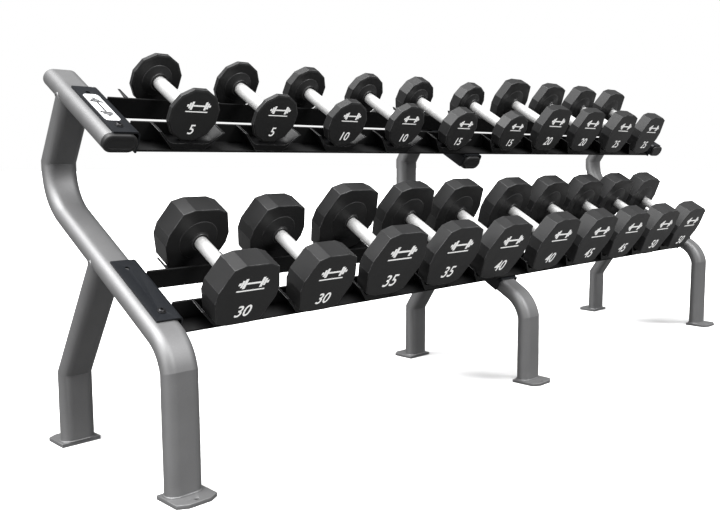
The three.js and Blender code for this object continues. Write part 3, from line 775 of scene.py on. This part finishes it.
def make_pair(tier, weight):
    """Two dumbbells of one weight, which share their meshes."""
    kind, outline = "broad", BROAD_HEAD
    if weight <= REGULAR_UP_TO:
        kind, outline = "regular", REGULAR_HEAD
    low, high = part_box(f"dumbbell_{weight}lb_a")
    half_width = (high.x - low.x) / 2 / MM
    middle = (low + high) / 2
    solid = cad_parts[f"dumbbell_{weight}lb_a"].data
    reach = max((v.co - middle).dot(UP_SLOPE) for v in solid.vertices) / MM
    handle = OTHER_HANDLES.get(weight, HANDLE_LENGTH)

    grip = handle_data(handle)
    mesh = bmesh.new()
    for side in (-1, 1):
        head_mesh(mesh, outline, half_width, handle, reach - handle / 2, side)
    soften_sides(mesh, HEAD_CORNER)
    heads = finished(mesh, f"heads_{weight}lb", HEAD_URETHANE, 7)
    mesh = bmesh.new()
    for side in (-1, 1):
        hub_mesh(mesh, half_width, handle, side)
    hubs = finished(mesh, f"hubs_{weight}lb", HEAD_URETHANE, 20)
    numeral = numeral_data(str(weight), half_width * NUMERAL_HEIGHTS[kind])
    outlines = pictogram(half_width * SIGN_WIDTH)
    sign = flat_shapes(f"sign_{weight}lb", outlines, SIGN_RELIEF, WHITE_INK)

    for letter in "ab":
        node = f"dumbbell_{weight}lb_{letter}"
        low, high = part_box(node)
        place = TIERS[tier].to_3x3().to_4x4()
        place.translation = (low + high) / 2
        piece(f"{node}_heads", heads, node, place, [node])
        piece(f"{node}_hubs", hubs, node, place)
        piece(f"{node}_handle", grip, node, place)
        for end, turn in (("front", 0), ("rear", math.pi)):
            face = place @ Matrix.Rotation(turn, 4, "Z") @ Matrix.Rotation(math.pi / 2, 4, "X")
            numeral_spot = face @ shifted(NUMERAL_ASIDE, -NUMERAL_DOWN * half_width, reach)
            sign_spot = face @ shifted(SIGN_ASIDE, SIGN_UP * half_width, reach)
            piece(f"{node}_numeral_{end}", numeral, node, numeral_spot)
            piece(f"{node}_sign_{end}", sign, node, sign_spot)


# ---- Making -------------------------------------------------------------------------------------

for frame_name, (frame_x, frame_drop) in FRAMES.items():
    make_frame(frame_name, frame_x, frame_drop)
    make_top_tube(frame_name, frame_x, frame_drop)
make_brackets()
make_label()
make_rails()
for pair_tier, pair_weights in WEIGHTS.items():
    for pair_weight in pair_weights:
        make_pair(pair_tier, pair_weight)

# ---- Floor, light and camera --------------------------------------------------------------------

FLOOR_HALF, FLOOR_Z = 40, -0.0005   # metres
# Each sun: where it shines from, its softness in degrees and its strength.
SUNS = {
    "sky": ((-0.4, -0.08, 1.0), 46, 7.4),
    "side": ((-0.9, -0.05, 0.45), 40, 1.8),
    "front": ((0.3, -0.8, 0.75), 24, 2.4),
}
SURROUND_SEEN, SURROUND_FELT = 1.0, 0.2
CAMERA_PLACE = (-1.97257, -1.50601, 0.633)
CAMERA_HEADING, CAMERA_DOWN, CAMERA_LENS = 44.968, 6.798, 41.06


def make_floor():
    mesh = bmesh.new()
    bmesh.ops.create_grid(mesh, x_segments=8, y_segments=8, size=FLOOR_HALF)
    floor = bpy.data.objects.new("floor", finished(mesh, "floor", floor_finish()))
    floor.location.z = FLOOR_Z
    bpy.context.scene.collection.objects.link(floor)


def make_sun(name, toward, softness, strength):
    """Even light from the direction `toward`, spread over `softness` degrees."""
    light = bpy.data.lights.new(name, "SUN")
    light.energy = strength
    light.angle = math.radians(softness)
    holder = bpy.data.objects.new(name, light)
    holder.rotation_euler = Vector(toward).to_track_quat("Z", "Y").to_euler()
    bpy.context.scene.collection.objects.link(holder)


def make_world():
    """Camera rays see white. Everything else gets a dimmer surround."""
    world = bpy.data.worlds.new("studio")
    bpy.context.scene.world = world
    world.use_nodes = True
    nodes, links = world.node_tree.nodes, world.node_tree.links
    seen, felt = nodes["Background"], nodes.new("ShaderNodeBackground")
    for background, strength in ((seen, SURROUND_SEEN), (felt, SURROUND_FELT)):
        background.inputs["Color"].default_value = (1, 1, 1, 1)
        background.inputs["Strength"].default_value = strength
    path, mix = nodes.new("ShaderNodeLightPath"), nodes.new("ShaderNodeMixShader")
    links.new(path.outputs["Is Camera Ray"], mix.inputs[0])
    links.new(felt.outputs[0], mix.inputs[1])
    links.new(seen.outputs[0], mix.inputs[2])
    links.new(mix.outputs[0], nodes["World Output"].inputs["Surface"])


def make_camera():
    camera = bpy.data.cameras.new("camera")
    camera.sensor_width = 36
    camera.lens = CAMERA_LENS
    camera.clip_end = 200
    holder = bpy.data.objects.new("camera", camera)
    holder.location = CAMERA_PLACE
    holder.rotation_euler = (math.radians(90 - CAMERA_DOWN), 0, math.radians(-CAMERA_HEADING))
    bpy.context.scene.collection.objects.link(holder)
    bpy.context.scene.camera = holder


make_floor()
for sun_name, settings in SUNS.items():
    make_sun(sun_name, *settings)
make_world()
make_camera()
bpy.context.scene.view_settings.view_transform = "Standard"
bpy.context.scene.view_settings.look = "None"
